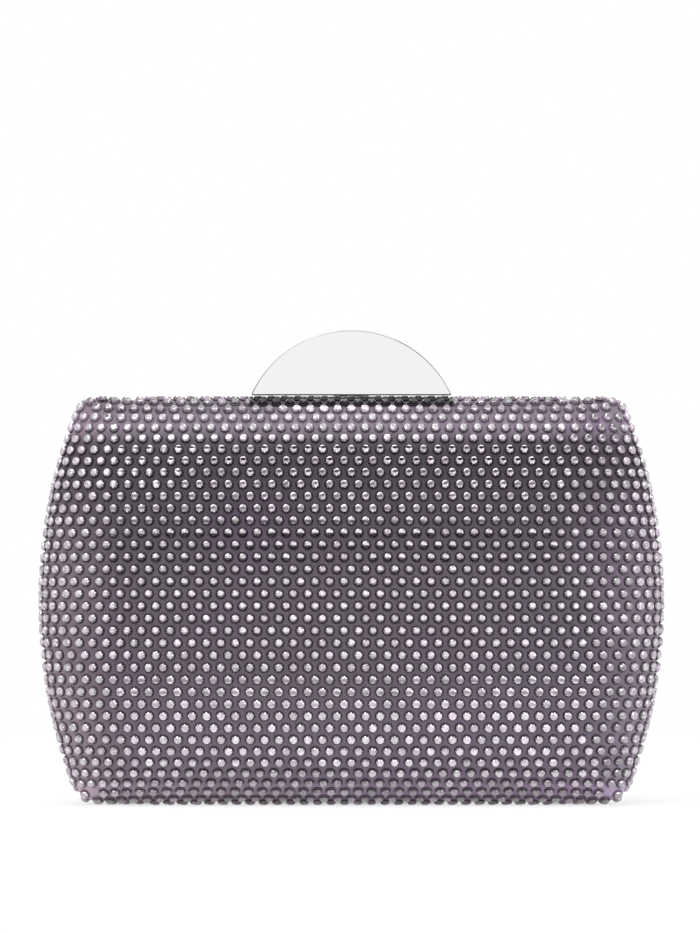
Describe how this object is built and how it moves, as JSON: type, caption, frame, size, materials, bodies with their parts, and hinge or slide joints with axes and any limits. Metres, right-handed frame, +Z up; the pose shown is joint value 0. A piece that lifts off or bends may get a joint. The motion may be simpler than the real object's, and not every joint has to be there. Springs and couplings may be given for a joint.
{
  "type": "minaudiere",
  "caption": "Hard evening clutch with bowed ends: two crystal-covered half shells hinged along the base, satin lined, shut by a tilting half-moon mirror clasp.",
  "frame": {"origin": "bottom centre: under the middle of the base, on the seam plane, where the case stands", "axes": "+X to the right of someone who faces the front, -Y out of the front face, +Z up towards the clasp"},
  "size_m": [0.165, 0.052, 0.1253],
  "materials": {
    "crystal": "foil-backed cut glass crystals in dark metal cups",
    "mesh_cloth": "mauve-grey woven cloth with a fine lustre",
    "shell_board": "moulded shell, matt",
    "satin": "silver-grey satin on card",
    "plated_metal": "polished bright plating",
    "steel": "plain bright steel"
  },
  "bodies": {
    "rear_half": {"rear_shell": "shell_board", "rear_cloth": "mesh_cloth", "rear_crystals": "crystal", "rear_edge_crystals": "crystal", "rear_base_crystals": "crystal", "rear_frame": "plated_metal", "rear_lining": "satin", "rear_hinge_leaf_left": "steel", "rear_hinge_leaf_right": "steel", "rear_hinge_rivets": "steel", "hinge_pin_left": "steel", "hinge_pin_right": "steel", "chain_lug_left": "plated_metal", "chain_lug_right": "plated_metal", "catch_spring": "steel", "catch_rivets": "steel"},
    "front_half": {"front_shell": "shell_board", "front_cloth": "mesh_cloth", "front_crystals": "crystal", "front_edge_crystals": "crystal", "front_base_crystals": "crystal", "front_frame": "plated_metal", "front_lining": "satin", "front_hinge_leaf_left": "steel", "front_hinge_leaf_right": "steel", "front_hinge_rivets": "steel", "clasp_bracket": "plated_metal", "clasp_bracket_rivets": "steel", "clasp_pin": "steel"},
    "clasp": {"clasp_lever": "plated_metal", "clasp_plate": "plated_metal", "clasp_plate_studs": "steel", "clasp_return_spring": "steel"}
  },
  "joints": [
    {"name": "case_hinge", "type": "hinge", "parent": "rear_half", "child": "front_half", "pos_m": [0, 0, 0.0026], "axis": [1, 0, 0], "range_deg": [0, 75], "deforming": ["catch_spring"]},
    {"name": "clasp_tilt", "type": "hinge", "parent": "front_half", "child": "clasp", "pos_m": [0, 0, 0.1034], "axis": [-1, 0, 0], "range_deg": [0, 15], "stiffness_Nm_per_rad": 0.06, "springref_deg": -20.05, "deforming": ["clasp_return_spring"]}
  ]
}
